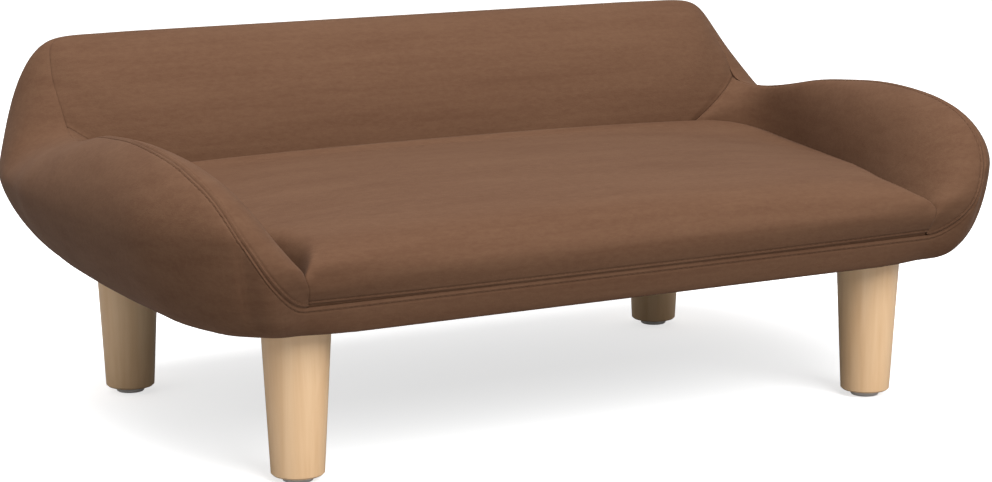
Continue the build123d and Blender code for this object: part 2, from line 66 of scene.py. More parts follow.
# The upholstery from the nose of the right arm to the middle of the backrest. Each row starts with three
# places: the seam to the outer cover, the shoulder that the inner cover leans on, and the crease at the
# seat. Then come the squareness of the inner section, how far the outer cover bulges beyond the underside
# (0 where the seam gives it), the root of its profile below the widest line, the squareness of its profile
# above that line, and how far inside the seam this upper profile would be level.
SECTIONS = [
    ((252.0, -208.3, 127.2), (251.3, -209.3, 128.2), (250.6, -207.6, 128.8), 2.2, 0, 0.335, 2, 48),
    ((258.5, -210.3, 128.6), (253.0, -211.0, 135.0), (251.5, -210.3, 133.0), 2.2, 0, 0.335, 2, 48),
    ((266.0, -214.2, 132.6), (256.0, -214.0, 141.0), (252.5, -213.0, 137.5), 2.2, 0, 0.33, 2, 48),
    ((272.6, -217.6, 137.6), (259.0, -217.5, 146.5), (253.6, -214.3, 142.0), 2.2, 0, 0.32, 2, 48),
    ((278.4, -220.0, 143.0), (261.0, -220.5, 152.5), (254.8, -214.0, 146.0), 2.2, 0, 0.31, 2, 48),
    ((283.8, -221.0, 149.0), (262.5, -222.0, 159.0), (254.5, -211.0, 148.5), 2.3, 0, 0.3, 2, 48),
    ((288.4, -220.6, 155.4), (263.5, -222.0, 166.0), (251.0, -203.5, 146.0), 2.3, 0, 0.295, 2, 48),
    ((292.6, -218.8, 162.5), (265.0, -219.0, 173.5), (248.0, -193.0, 140.5), 2.4, 0, 0.29, 2, 48),
    ((297.0, -215.6, 170.8), (267.5, -213.0, 181.0), (246.5, -184.0, 136.5), 2.5, 0, 0.29, 2, 48),
    ((301.2, -210.2, 180.5), (270.0, -204.0, 190.0), (247.0, -174.0, 134.5), 2.5, 49.6, 0.29, 2, 46),
    ((304.6, -202.2, 190.4), (270.5, -194.0, 197.5), (249.5, -163.0, 135.0), 2.5, 50.8, 0.29, 1.95, 38),
    ((307.7, -188.0, 201.4), (272.0, -181.0, 205.0), (253.5, -151.0, 138.5), 2.5, 51.9, 0.29, 1.9, 26),
    ((310.3, -170.0, 209.5), (274.0, -165.0, 210.5), (258.5, -138.5, 143.5), 2.6, 53.2, 0.34, 1.9, 18),
    ((311.4, -146.0, 216.2), (277.0, -143.5, 214.5), (264.5, -122.0, 149.5), 2.7, 55.9, 0.39, 1.95, 14),
    ((312.0, -113.0, 220.4), (280.0, -112.0, 217.5), (271.0, -102.5, 155.0), 2.8, 58.6, 0.43, 2, 13),
    ((310.7, -72.0, 221.8), (283.0, -72.0, 218.0), (277.5, -71.0, 159.5), 2.8, 61, 0.46, 2, 13),
    ((308.0, -35.0, 219.3), (287.5, -35.0, 216.6), (284.5, -35.0, 162.5), 2.8, 61.9, 0.5, 2, 13),
    ((305.5, -5.0, 216.0), (290.0, -5.0, 215.0), (290.0, -5.0, 164.0), 2.8, 62, 0.54, 2, 13),
    ((302.0, 22.0, 210.5), (292.5, 22.0, 210.5), (292.0, 23.0, 166.0), 3.4, 61.6, 0.59, 2, 12),
    ((299.0, 48.0, 206.0), (292.0, 48.0, 206.0), (289.5, 51.0, 169.8), 3, 60.4, 0.65, 1.9, 8),
    ((297.0, 70.0, 204.0), (287.0, 70.5, 201.5), (273.5, 73.5, 174.6), 2.6, 57, 0.73, 1.65, 4),
    ((292.2, 98.0, 210.5), (279.0, 84.0, 199.5), (242.0, 77.0, 177.6), 2.2, 53.5, 0.8, 1.4, 1),
    ((292.0, 109.0, 224.0), (279.0, 85.0, 207.0), (231.0, 76.9, 178.0), 2.1, 51, 0.82, 1.4, 0),
    ((291.5, 124.0, 240.5), (276.0, 86.0, 225.0), (223.0, 76.7, 178.3), 2, 48.5, 0.8, 1.45, 0),
    ((288.5, 137.0, 255.5), (268.0, 89.0, 243.0), (215.5, 76.5, 178.6), 2, 46.3, 0.74, 1.62, 0),
    ((284.0, 144.5, 264.3), (254.0, 91.0, 250.5), (207.5, 76.3, 178.9), 2, 44.2, 0.66, 1.82, 0),
    ((273.0, 147.6, 268.2), (236.0, 91.0, 253.0), (197.0, 76.0, 179.2), 2, 42, 0.56, 1.95, 0),
    ((246.0, 148.0, 269.0), (208.0, 91.0, 253.0), (178.5, 75.6, 179.8), 2, 40.4, 0.46, 2, 0),
    ((190.0, 148.0, 269.0), (165.0, 91.0, 253.0), (149.0, 75.0, 180.5), 2, 38.6, 0.39, 2, 0),
    ((130.0, 148.0, 269.0), (114.0, 91.0, 253.0), (108.0, 75.0, 181.0), 2, 38.4, 0.335, 2, 0),
    ((65.0, 148.0, 269.0), (57.0, 91.0, 253.0), (54.0, 75.0, 181.4), 2, 38.4, 0.335, 2, 0),
    ((0.0, 148.0, 269.0), (0.0, 91.0, 253.0), (0.0, 75.0, 181.5), 2, 38.4, 0.335, 2, 0),
]

# Row of the table in which the arm meets the backrest
MITRE = 21

# How finely the lines and the sheets are laid out, and how far they go behind the creases
OUTLINE_POINTS = 60
LOWER_POINTS, UPPER_POINTS, INNER_POINTS = 160, 120, 90
FINE_STATIONS = 2000
STATIONS = 301
STATION_POWER = 0.75
STATION_LENGTH = 2.6
INNER_ROWS = 48
OUTER_ROWS = 56
LIP_COLUMNS = 100
TUCK_DEPTH = 15.0

# Places of the close rows near a seam, which take no more than one part in so many of a section
NEAR_SEAM = np.array((0, 0.5, 1.0, 1.5, 2.0, 2.5, 3.0, 3.5, 4.0, 5.0, 6.5, 9.0))
NEAR_PARTS = 3

# Rounding of the turn at the seams: how far from the seam it is laid out finely and at what step, the
# places of its average and its fade in radii, the radius on the arms and on the backrest and where the
# one becomes the other, and how many radii a section holds at least
EASE_REACH, EASE_STEP = 14.0, 0.5
EASE_OFFSETS = np.linspace(-3, 3, 13)
EASE_FADE = 2
ARM_EASE, BACK_EASE = 1.5, 4.0
BACK_EASE_FROM, BACK_EASE_FADE = 20.0, 8.0
EASE_ROOM = 12.0

# The middle of the seat from its front seam to the back: depth, height, the row of the table above
# whose crease it reaches at the side, and how much of the fall to that crease is close to it
SEAT_PROFILE = [
    (-208.3, 127.2, 0.0, 0.0),
    (-211.0, 138.0, 2.2, 0.0),
    (-209.0, 151.0, 4.0, 1.0),
    (-201.0, 163.0, 5.6, 13.0),
    (-188.0, 171.0, 7.2, 27.0),
    (-165.0, 176.0, 9.4, 35.0),
    (-120.0, 179.5, 12.6, 22.0),
    (-50.0, 182.5, 15.6, 5.0),
    (0.0, 183.0, 17.2, 0.0),
    (50.0, 182.0, 19.2, 0.0),
    (75.0, 181.5, 21.0, 0.0),
]
SEAT_FINE_ROWS = 800
SEAT_ROWS = 110
SEAT_COLUMNS = 161
SEAT_CROWDING = 0.5
SEAT_CROWN = 2.7
SIDE_DIP_CROWN = 60
SEAT_UNDERSIDE = 121.0
BASE_SHARE, BASE_FRONT = 0.985, -204.5

# Hidden edges behind the creases. On the front face they are short and go a way of their own, which is
# one way low down near the lip and another above the nose.
TUCK_STEPS = np.array((0.5, 1.0))
TUCK_CLEARANCE = 2.0
SEAT_SIDE_TUCK = (2.0, -14.0)
SEAT_BACK_TUCK = (9.0, -14.0)
SEAT_FRONT_TUCKS = ((0.0, 5.0, 0.0), (0.0, 4.0, -5.0))
FRONT_TUCK_WAYS = ((-0.3, 1.0, -0.1), (-0.15, 0.6, -1.0))
FRONT_TUCK_DEPTH = 6.0
FRONT_FACE_FROM, FRONT_FACE_FADE = -195.0, 9.0
NOSE_FROM, NOSE_FADE = 141.0, 5.0

# Relief of a seam: its groove, the ridge beside it and the groove of its stitches. Close to the seam both
# sheets rise along the same normals. The arm and the backrest meet in a soft valley.
SEAM_DEPTH, SEAM_SPREAD = 0.8, 1.0
RIDGE_HEIGHT, RIDGE_PLACE, RIDGE_SPREAD = 0.3, 1.9, 0.7
ROW_DEPTH, ROW_PLACE, ROW_SPREAD = 0.6, 3.2, 0.6
EDGE_SPREAD = 2.0
MITRE_DEPTH, MITRE_SPREAD = 1.6, 7.0

# The stitches end at this distance before the mitre, and the seam goes on flatter
ROWS_END, ROWS_FADE = 50.0, 8.0
BACK_SEAM_SHARE = 0.4

# Stitches: their size, how deep their ends are sunk, and their width at places along them
STITCH_LENGTH, STITCH_GAP, STITCH_RADIUS = 3.2, 1.2, 0.32
STITCH_SINK = 0.6
STITCH_SIDES = 6
STITCH_PLACES = np.array((0.0, 0.12, 0.35, 0.65, 0.88, 1.0))
STITCH_WIDTHS = np.array((0.35, 0.85, 1.0, 1.0, 0.85, 0.35))

# Depth of the pieces behind their sheets, and how full the padded ones are
PAD_DEPTH = 12.0
PAD_SHARE = 0.2
COVER_THICKNESS = 1.6
PAD_FILL, SEAT_FILL = 0.9, 0.85

# Rough directions that the sheets face, and a place inside the body
BODY_CENTRE = np.array((0.0, 60.0, 153.0))
INNER_FACING = np.array((0.0, -60.0, 120.0))
SEAT_FACING = np.array((0.0, -0.3, 1.0))
UP = np.array((0.0, 0.0, 1.0))

# Cloth under pressure: its frames, how coarse its mesh is, how far it may move, and its fabric
CLOTH_FRAMES = 20
CLOTH_STEP = 3
CLOTH_CAP = 2.5
CLOTH_PRESSURE = 4.0
CLOTH_FABRIC = {
    "quality": 6,
    "mass": 0.4,
    "tension_stiffness": 25.0,
    "compression_stiffness": 25.0,
    "shear_stiffness": 15.0,
    "bending_stiffness": 4.0,
}

# What the cloth keeps in place: millimetres at seams and creases, stations at the nose and on both sides
# of the mitre, and the seat's rows in front and behind and its columns at the sides
HELD_AT_SEAM, HELD_AT_CREASE = 10.0, 6.0
HELD_AT_NOSE, HELD_AT_MITRE = 8, 2
HELD_IN_FRONT, HELD_BEHIND, HELD_ASIDE = 14, 3, 4

# Lining under the base: its mesh, the depth of its slack, the two waves in it, and where it is free
LINING_MESH = 14.0
LINING_ROUNDS = 7
LINING_SAG = 0.7
LINING_WAVE, LINING_WAVE_TURN, LINING_WAVE_BEND = 37.0, 53.0, 1.3
LINING_RIPPLE, LINING_RIPPLE_TURN, LINING_RIPPLE_SHARE = 23.0, 61.0, 0.6
LINING_CREST = 1.6
LINING_HALF_WIDTH, LINING_SIDE_FADE = 240.0, 60.0
LINING_HALF_DEPTH, LINING_END_FADE = 150.0, 50.0

# Colours
FABRIC_DARK = (89, 61, 43)
FABRIC_LIGHT = (98, 70, 51)
FABRIC_SHEEN = (222, 190, 168)
WOOD_LIGHT = (240, 204, 162)
WOOD_DARK = (224, 182, 136)
WHITE = (1.0, 1.0, 1.0, 1.0)

# Finishes: how dense each noise is along the three axes, what range of it counts, and the gloss
FABRIC_STREAKS = (7.0, 40.0, 120.0)
FABRIC_GRAIN = (160.0, 300.0, 420.0)
FABRIC_FOLDS = (10.0, 24.0, 40.0)
FABRIC_NAP = (500.0, 900.0, 900.0)
FABRIC_RANGE = (0.75, 1.25)
FABRIC_FINISH = {
    "Roughness": 0.85,
    "Specular IOR Level": 0.18,
    "Sheen Weight": 0.06,
    "Sheen Roughness": 0.45,
}
WOOD_RINGS = (90.0, 90.0, 5.0)
WOOD_FIBRES = (900.0, 900.0, 30.0)
WOOD_RANGE = (0.3, 0.7)
WOOD_FINISH = {"Roughness": 0.42, "Coat Weight": 0.15, "Coat Roughness": 0.3}
PLAIN_NOISE = 30.0
PLAIN_FINISHES = {
    "plywood": {"colour": (198, 166, 122), "roughness": 0.6, "grain": 160.0},
    "steel": {"colour": (176, 178, 180), "roughness": 0.35, "metallic": 1.0, "spread": 0.04},
    "lining": {"colour": (38, 37, 37), "roughness": 0.95, "grain": 300.0, "spread": 0.2},
    "glide_plastic": {"colour": (240, 238, 236), "roughness": 0.3, "spread": 0.02, "clear": 0.1},
}

# Sockets of a Mix node that mixes colours
MIX_SHARE, MIX_FIRST, MIX_SECOND, MIX_RESULT = 0, 6, 7, 2

# Stage
FLOOR_SIZE = 12.0
FLOOR_GLOW = 0.66
FLOOR_WHITE = 0.9
FLOOR_BOUNCE = 0.38
AMBIENT = 0.42
AIM = (0.0, 0.0, 0.15)
LIGHTS = [
    ("key", (0.2, -2.6, 2.4), 2.2, 94.0),
    ("top", (-0.6, -0.2, 3.0), 2.4, 86.0),
    ("fill", (-2.4, -0.6, 1.8), 2.0, 6.0),
]

# Camera
CAMERA_PLACE = (-0.98992, -1.71690, 0.48683)
CAMERA_YAW = radians(-30.18)
CAMERA_TILT = radians(90.0 - 10.68)
CAMERA_LENS = 97.61
CAMERA_SENSOR = 36.0
CAMERA_REACH = 100.0


def natural_spline(knots, values, at):
    """Smooth curve through values at knots, read at other places."""
    knots, values, at = (np.asarray(x, float) for x in (knots, values, at))
    flat = values.reshape(len(knots), -1)
    gaps = np.diff(knots)
    count = len(knots)
    matrix = np.eye(count)
    right = np.zeros_like(flat)
    for i in range(1, count - 1):
        matrix[i, i - 1:i + 2] = gaps[i - 1], 2 * (gaps[i - 1] + gaps[i]), gaps[i]
        right[i] = 6 * ((flat[i + 1] - flat[i]) / gaps[i] - (flat[i] - flat[i - 1]) / gaps[i - 1])
    bend = np.linalg.solve(matrix, right)
    k = np.clip(np.searchsorted(knots, at, side="right") - 1, 0, count - 2)
    gap = gaps[k][:, None]
    a, b = (knots[k + 1] - at)[:, None], (at - knots[k])[:, None]
    out = (bend[k] * a**3 + bend[k + 1] * b**3) / (6 * gap)
    out += (flat[k] / gap - bend[k] * gap / 6) * a + (flat[k + 1] / gap - bend[k + 1] * gap / 6) * b
    return out.reshape((len(at),) + values.shape[1:])


def lengths(points):
    """Running length along a line of points."""
    return np.concatenate([[0], np.cumsum(np.linalg.norm(np.diff(points, axis=0), axis=1))])


def at_lengths(points, wanted):
    """Points of a line at given running lengths."""
    run = lengths(points)
    return np.stack([np.interp(wanted, run, points[:, i]) for i in range(3)], axis=1)


def sole_outline():
    """Right half of the underside's outline in plan, from the front middle to the rear middle."""
    turn = np.linspace(0, pi / 2, OUTLINE_POINTS)
    (front_x, front_y), (rear_x, rear_y) = FRONT_CORNER, REAR_CORNER
    front = [(x, SOLE_FRONT) for x in np.linspace(0, front_x, OUTLINE_POINTS)]
    nose = [(front_x + FRONT_RADIUS * sin(a), front_y - FRONT_RADIUS * cos(a)) for a in turn]
    side = [(SOLE_HALF, y) for y in np.linspace(front_y, rear_y, OUTLINE_POINTS)]
    rear = [(rear_x + REAR_AXES[0] * cos(a), rear_y + REAR_AXES[1] * sin(a)) for a in turn]
    back = [(x, SOLE_REAR) for x in np.linspace(rear_x, 0, OUTLINE_POINTS)]
    line = np.array(front + nose[1:] + side[1:] + rear[1:] + back[1:])
    step = np.gradient(line, axis=0)
    normal = np.stack([step[:, 1], -step[:, 0]], axis=1)
    return line, normal / np.linalg.norm(normal, axis=1)[:, None]


def foot_of(place, outline, normals):
    """Point of the underside's outline nearest to a place in plan, and the outline's normal there."""
    ends, starts = outline[1:], outline[:-1]
    along = ends - starts
    share = np.clip(((place - starts) * along).sum(1) / (along**2).sum(1), 0, 1)
    near = starts + share[:, None] * along
    k = np.argmin(((near - place)**2).sum(1))
    normal = normals[k] * (1 - share[k]) + normals[k + 1] * share[k]
    return near[k], normal / np.linalg.norm(normal)


def flank_share(level, root):
    """How far the outer cover stands out at a share of the height up to the widest line."""
    return (1 - np.abs(1 - level)**FLANK_POWER)**root


def reach_at(seam, root, outline, normals):
    """How far the outer cover has to bulge to pass through a seam below the widest line."""
    foot, normal = foot_of(seam[:2], outline, normals)
    level = (seam[2] - SOLE_Z) / (BULGE_Z - SOLE_Z)
    return (seam[:2] - foot) @ normal / flank_share(level, root)


def outer_section(seam, reach, root, crown, crest, outline, normals):
    """Fine line up the outer cover, from the hem under the body to its upper seam."""
    foot, normal = foot_of(seam[:2], outline, normals)
    rise = BULGE_Z - SOLE_Z
    top_level = min(1.0, (seam[2] - SOLE_Z) / rise)
    levels = top_level * np.linspace(0, 1, LOWER_POINTS)**2
    out = reach * flank_share(levels, root)
    plan = foot + normal * out[:, None]
    if seam[2] < BULGE_Z:
        plan = plan + (seam[:2] - plan[-1]) * (levels / levels[-1])[:, None]
    points = np.column_stack([plan, SOLE_Z + levels * rise])
    if seam[2] > BULGE_Z:
        bulge = plan[-1]
        inward = seam[:2] - bulge
        span = hypot(*inward)
        centre = bulge + inward * (span + crest) / span
        end = np.arccos(np.clip(crest / (span + crest), 0, 1)**(crown / 2))
        height = (seam[2] - BULGE_Z) / sin(end)**(2 / crown)
        turn = np.linspace(0, end, UPPER_POINTS)[1:]
        plan = centre + (bulge - centre) * (np.cos(turn)**(2 / crown))[:, None]
        rising = BULGE_Z + height * np.sin(turn)**(2 / crown)
        points = np.vstack([points, np.column_stack([plan, rising])])
    hem = (*(foot - normal * HEM_WIDTH), SOLE_Z)
    return np.vstack([[hem], points])


def front_share(depth):
    """How much a place belongs to the front face rather than to the sides, by its depth."""
    return np.clip((FRONT_FACE_FROM - depth) / FRONT_FACE_FADE, 0, 1)


def low_or_high(ways, height):
    """Way of a hidden edge in the front face: the first near the lip, the second above the nose."""
    share = np.clip((height - NOSE_FROM) / NOSE_FADE, 0, 1)
    return np.array(ways[0]) * (1 - share) + np.array(ways[1]) * share


def inner_section(seam, shoulder, crease, square):
    """Fine line down the inner cover, from its seam over the shoulder to behind the crease."""
    turn = np.linspace(0, pi / 2, INNER_POINTS)[:, None]
    centre = seam + crease - shoulder
    to_crease, to_seam = np.sin(turn)**(2 / square), np.cos(turn)**(2 / square)
    skin = centre + (crease - centre) * to_crease + (seam - centre) * to_seam
    down = (crease - shoulder) / np.linalg.norm(crease - shoulder)
    at_front = front_share(crease[1])
    way = down * (1 - at_front) + low_or_high(FRONT_TUCK_WAYS, crease[2]) * at_front
    reach = np.linalg.norm(seam - crease)
    depth = TUCK_DEPTH + (FRONT_TUCK_DEPTH - TUCK_DEPTH) * at_front
    tuck = crease + way / np.linalg.norm(way) * min(depth, reach)
    return np.vstack([skin, [tuck]])


def eased(inner, outer, radius):
    """Both lines from their shared seam, with the turn of the surface at the seam rounded off."""
    line = np.vstack([outer[:0:-1], inner])
    seam = lengths(outer)[-1]
    run = lengths(line)
    near = seam + np.arange(-EASE_REACH, EASE_REACH + EASE_STEP, EASE_STEP)
    places = np.unique(np.concatenate([run, [seam], near]))
    places = places[(places >= 0) & (places <= run[-1])]
    weights = np.exp(-EASE_OFFSETS**2 / 2)
    moved = [at_lengths(line, places + offset * radius) for offset in EASE_OFFSETS]
    smooth = sum(weight * points for weight, points in zip(weights, moved)) / weights.sum()
    share = np.exp(-((places - seam) / (EASE_FADE * radius))**2)[:, None]
    points = at_lengths(line, places) * (1 - share) + smooth * share
    return points[places >= seam], points[places <= seam][::-1]


def row_places(total, count):
    """Running lengths of the rows of a section, the close ones near its seam first."""
    near = NEAR_SEAM * min(1.0, total / (NEAR_PARTS * NEAR_SEAM[-1]))
    rest = np.linspace(near[-1], total, count - len(near) + 1)[1:]
    return np.concatenate([near, rest])


def laid_out(line, count):
    """Points along a section: close together near its seam, even beyond."""
    total = lengths(line)[-1]
    return at_lengths(line, row_places(total, count))


def section_table():
    """Columns of the section table: its three lines and its other values, and a knot for each row."""
    lines = [np.array([row[i] for row in SECTIONS], float) for i in range(3)]
    others = [np.array([row[i] for row in SECTIONS], float) for i in range(3, 8)]
    steps = sum(np.linalg.norm(np.diff(line, axis=0), axis=1) for line in lines) / len(lines)
    return lines, others, np.concatenate([[0], np.cumsum(steps**STATION_POWER)])


def sections(outline, normals):
    """Station values along the upholstery, finely spaced, and the station of the mitre."""
    (seam, shoulder, crease), (square, reach, root, crown, crest), knots = section_table()
    for i in np.flatnonzero(reach == 0):
        reach[i] = reach_at(seam[i], root[i], outline, normals)
    table = np.column_stack([seam, shoulder, crease, square, reach, root, crown, crest])
    fine = np.linspace(0, knots[-1], FINE_STATIONS)
    rough = natural_spline(knots, table, fine)
    run = lengths(rough[:, 0:3]) + lengths(rough[:, 6:9])
    at = np.interp(np.linspace(0, run[-1], STATIONS), run, fine)
    mitre = int(np.argmin(abs(at - knots[MITRE])))
    return natural_spline(knots, table, at), mitre


def surface_normals(points, outward):
    """Unit normals of a grid of points, turned to the side of a direction field."""
    normal = np.cross(np.gradient(points, axis=0), np.gradient(points, axis=1))
    normal = normal / np.maximum(np.linalg.norm(normal, axis=2, keepdims=True), TINY)
    return normal if (normal * outward).sum() > 0 else -normal


def seam_relief(distance, seam_share=1.0, row_share=1.0):
    """Height of the surface near a seam: the seam itself, a soft ridge and a row of stitches."""
    seam = -SEAM_DEPTH * np.exp(-(distance / SEAM_SPREAD)**2)
    ridge = RIDGE_HEIGHT * np.exp(-((distance - RIDGE_PLACE) / RIDGE_SPREAD)**2)
    row = -ROW_DEPTH * np.exp(-((distance - ROW_PLACE) / ROW_SPREAD)**2)
    return seam_share * seam + row_share * (ridge + row)


def row_distances(points):
    """Distance of each point of a grid from its first row, along its section."""
    steps = np.linalg.norm(np.diff(points, axis=1), axis=2)
    return np.concatenate([np.zeros((len(points), 1)), np.cumsum(steps, axis=1)], axis=1)


def on_side(points, sign):
    """Points of the right side, or with a negative sign their mirror image on the left."""
    return points * np.array((sign, 1.0, 1.0))


def full_width(points):
    """A right half from its far end to the middle, made into the whole from right to left."""
    return np.concatenate([points, on_side(points, -1.0)[-2::-1]])


def grid_faces(rows, columns, first=0):
    """Faces of a grid of vertices."""
    i, j = np.meshgrid(np.arange(rows - 1), np.arange(columns - 1), indexing="ij")
    a = first + i * columns + j
    return np.stack([a, a + 1, a + columns + 1, a + columns], axis=-1).reshape(-1, 4)


def border_loop(rows, columns):
    """Vertices round the edge of a grid, in order."""
    k = np.arange(rows * columns).reshape(rows, columns)
    return np.concatenate([k[0, :-1], k[:-1, -1], k[-1, :0:-1], k[:0:-1, 0]])


def placed(name, mesh, material=None):
    """Object in the scene with this mesh."""
    thing = bpy.data.objects.new(name, mesh)
    bpy.context.scene.collection.objects.link(thing)
    if material:
        mesh.materials.append(material)
    return thing


def new_object(name, vertices, faces, material=None):
    """Smooth mesh object from points in millimetres."""
    mesh = bpy.data.meshes.new(name)
    mesh.from_pydata((vertices * MM).tolist(), [], faces)
    mesh.polygons.foreach_set("use_smooth", np.ones(len(mesh.polygons), bool))
    mesh.update()
    return placed(name, mesh, material)


def closed_sheet(name, skin, back, material):
    """Closed solid between an outer grid and the grid behind it, with flat narrow sides."""
    rows, columns = skin.shape[:2]
    count = rows * columns
    front = grid_faces(rows, columns)
    rear = grid_faces(rows, columns, count)[:, ::-1]
    loop = border_loop(rows, columns)
    after = np.roll(loop, -1)
    sides = np.stack([after, loop, loop + count, after + count], axis=1)
    faces = np.concatenate([front, rear, sides])
    vertices = np.concatenate([skin.reshape(-1, 3), back.reshape(-1, 3)])
    thing = new_object(name, vertices, faces.tolist(), material)
    smooth = np.arange(len(faces)) < len(front) + len(rear)
    thing.data.polygons.foreach_set("use_smooth", smooth)
    shape = bmesh.new()
    shape.from_mesh(thing.data)
    bmesh.ops.recalc_face_normals(shape, faces=shape.faces)
    shape.to_mesh(thing.data)
    shape.free()
    return thing


def coarse_places(count, step):
    """Every few places of a row, with both ends."""
    return np.unique(np.append(np.arange(0, count, step), count - 1))


def puffed(points, outward, free):
    rows = coarse_places(points.shape[0], CLOTH_STEP)
    columns = coarse_places(points.shape[1], CLOTH_STEP)
    coarse = points[np.ix_(rows, columns)]
    faces = grid_faces(len(rows), len(columns))
    if (np.cross(coarse[0, 1] - coarse[0, 0], coarse[1, 0] - coarse[0, 0]) * outward).sum() < 0:
        faces = faces[:, ::-1]
    cloth = new_object("cloth", coarse.reshape(-1, 3), faces.tolist())
    pins = cloth.vertex_groups.new(name="pins")
    held = np.flatnonzero(~free[np.ix_(rows, columns)])
    pins.add(held.tolist(), 1.0, "REPLACE")
    modifier = cloth.modifiers.new("Cloth", "CLOTH")
    settings = modifier.settings
    settings.vertex_group_mass = "pins"
    settings.use_pressure = True
    settings.uniform_pressure_force = CLOTH_PRESSURE
    settings.effector_weights.gravity = 0.0
    for key, value in CLOTH_FABRIC.items():
        setattr(settings, key, value)
    modifier.point_cache.frame_start = 1
    modifier.point_cache.frame_end = CLOTH_FRAMES
    scene = bpy.context.scene
    for step in range(1, CLOTH_FRAMES + 1):
        scene.frame_set(step)
    moved = cloth.evaluated_get(bpy.context.evaluated_depsgraph_get()).data
    place = np.zeros(len(moved.vertices) * 3)
    moved.vertices.foreach_get("co", place)
    shift = place.reshape(coarse.shape) / MM - coarse
    scene.frame_set(1)
    bpy.data.objects.remove(cloth, do_unlink=True)
    size = np.linalg.norm(shift, axis=2, keepdims=True)
    shift = shift * (CLOTH_CAP * np.tanh(size / CLOTH_CAP) / np.maximum(size, TINY))
    shift = natural_spline(rows, shift, np.arange(points.shape[0]))
    shift = natural_spline(columns, shift.transpose(1, 0, 2), np.arange(points.shape[1]))
    return points + shift.transpose(1, 0, 2)


def fabric_sheets():
    """Grids of the inner upholstery and of the outer cover, right half, nose to the middle of the back."""
    outline, normals = sole_outline()
    values, mitre = sections(outline, normals)
    inner, outer = [], []
    for station, row in enumerate(values):
        seam, shoulder, crease = row[0:3], row[3:6], row[6:9]
        square, reach, root, crown, crest = row[9:14]
        near = inner_section(seam, shoulder, crease, square)
        far = outer_section(seam, reach, root, crown, max(0.0, crest), outline, normals)[::-1]
        past = (station - mitre) * STATION_LENGTH
        back_share = 1 / (1 + np.exp(-(past + BACK_EASE_FROM) / BACK_EASE_FADE))
        radius = ARM_EASE + (BACK_EASE - ARM_EASE) * back_share
        near, far = eased(near, far, min(radius, lengths(near)[-1] / EASE_ROOM))
        inner.append(laid_out(near, INNER_ROWS))
        outer.append(laid_out(far, OUTER_ROWS))
    lip = []
    root, crown, crest = SECTIONS[0][5:8]
    for x in np.linspace(0, values[0, 0], LIP_COLUMNS)[:-1]:
        seam = np.array((x, *SECTIONS[0][0][1:]))
        reach = reach_at(seam, root, outline, normals)
        line = outer_section(seam, reach, root, crown, crest, outline, normals)[::-1]
        lip.append(laid_out(line, OUTER_ROWS))
    return values, mitre, np.array(inner), np.array(outer), np.array(lip)


def seat_grid():
    """Grid of the seat's top, from the front seam to the backrest's crease."""
    (_, _, crease), _, knots = section_table()
    profile = np.array(SEAT_PROFILE)
    run = lengths(profile[:, :2])
    fine = natural_spline(run, profile, np.linspace(0, run[-1], SEAT_FINE_ROWS))
    middle = np.column_stack([np.zeros(SEAT_FINE_ROWS), fine[:, :2]])
    far = lengths(middle)
    places = row_places(far[-1], SEAT_ROWS)
    centre = at_lengths(middle, places)
    dip = np.interp(places, far, np.maximum(fine[:, 3], 0))[:, None]
    table_row = np.interp(places, far, fine[:, 2])
    side = natural_spline(knots, crease, np.interp(table_row, np.arange(len(knots)), knots))
    even = np.linspace(-1, 1, SEAT_COLUMNS)
    share = SEAT_CROWDING * np.sin(even * pi / 2) + (1 - SEAT_CROWDING) * even
    drop = np.abs(share)**SEAT_CROWN
    fall = side - centre
    grid = np.zeros((SEAT_ROWS, SEAT_COLUMNS, 3))
    grid[:, :, 0] = side[:, :1] * share
    grid[:, :, 1] = centre[:, 1:2] + fall[:, 1:2] * drop
    grid[:, :, 2] = centre[:, 2:] + (fall[:, 2:] + dip) * drop
    grid[:, :, 2] -= dip * np.abs(share)**SIDE_DIP_CROWN
    return grid


def with_tucks(grid):
    """The seat's grid with its hidden edges behind the side and back creases."""
    out, down = SEAT_SIDE_TUCK
    steps = TUCK_STEPS[None, :, None]
    sides = []
    for column, way in ((grid[:, :1], -1), (grid[:, -1:], 1)):
        height = column[..., 2:]
        room = np.clip((height - SEAT_UNDERSIDE - TUCK_CLEARANCE) / -down, 0, 1)
        at_front = front_share(column[..., 1:2])
        at_side = np.array((way * out, 0, down)) * (1 - at_front) * room
        sides.append(column + steps * (at_side + low_or_high(SEAT_FRONT_TUCKS, height) * at_front))
    grid = np.concatenate([sides[0][:, ::-1], grid, sides[1]], axis=1)
    back, down = SEAT_BACK_TUCK
    rows = [grid[-1:] + step * np.array((0, back, down)) for step in TUCK_STEPS]
    return np.concatenate([grid, *rows])


def behind(skin, outward, depth):
    """Grid at a depth behind a sheet, thinner towards its edges."""
    normal = surface_normals(skin, outward)
    total = row_distances(skin)
    share = total / np.maximum(total[:, -1:], TINY)
    deep = np.minimum(depth, PAD_SHARE * total[:, -1:]) * np.sqrt(np.clip(np.sin(pi * share), 0, 1))
    return skin - normal * np.maximum(deep, min(depth, COVER_THICKNESS))[:, :, None]


def relieved(grid, normal, edge, shares=(1.0, 1.0), valley=0.0):
    """A sheet with the relief of its seam, and its normals, which close to the seam are the edge's."""
    far = row_distances(grid)
    share = np.exp(-(far / EDGE_SPREAD)**2)[:, :, None]
    way = normal * (1 - share) + edge[:, None] * share
    way /= np.linalg.norm(way, axis=2, keepdims=True)
    return grid + way * (seam_relief(far, *shares) - valley)[:, :, None], way


def rgb(red, green, blue):
    """Linear colour from the usual 0 to 255 values."""
    values = [c / 255 for c in (red, green, blue)]
    return (*[c / 12.92 if c <= 0.04045 else ((c + 0.055) / 1.055)**2.4 for c in values], 1.0)


def grey(level):
    """Linear grey."""
    return (level, level, level, 1.0)


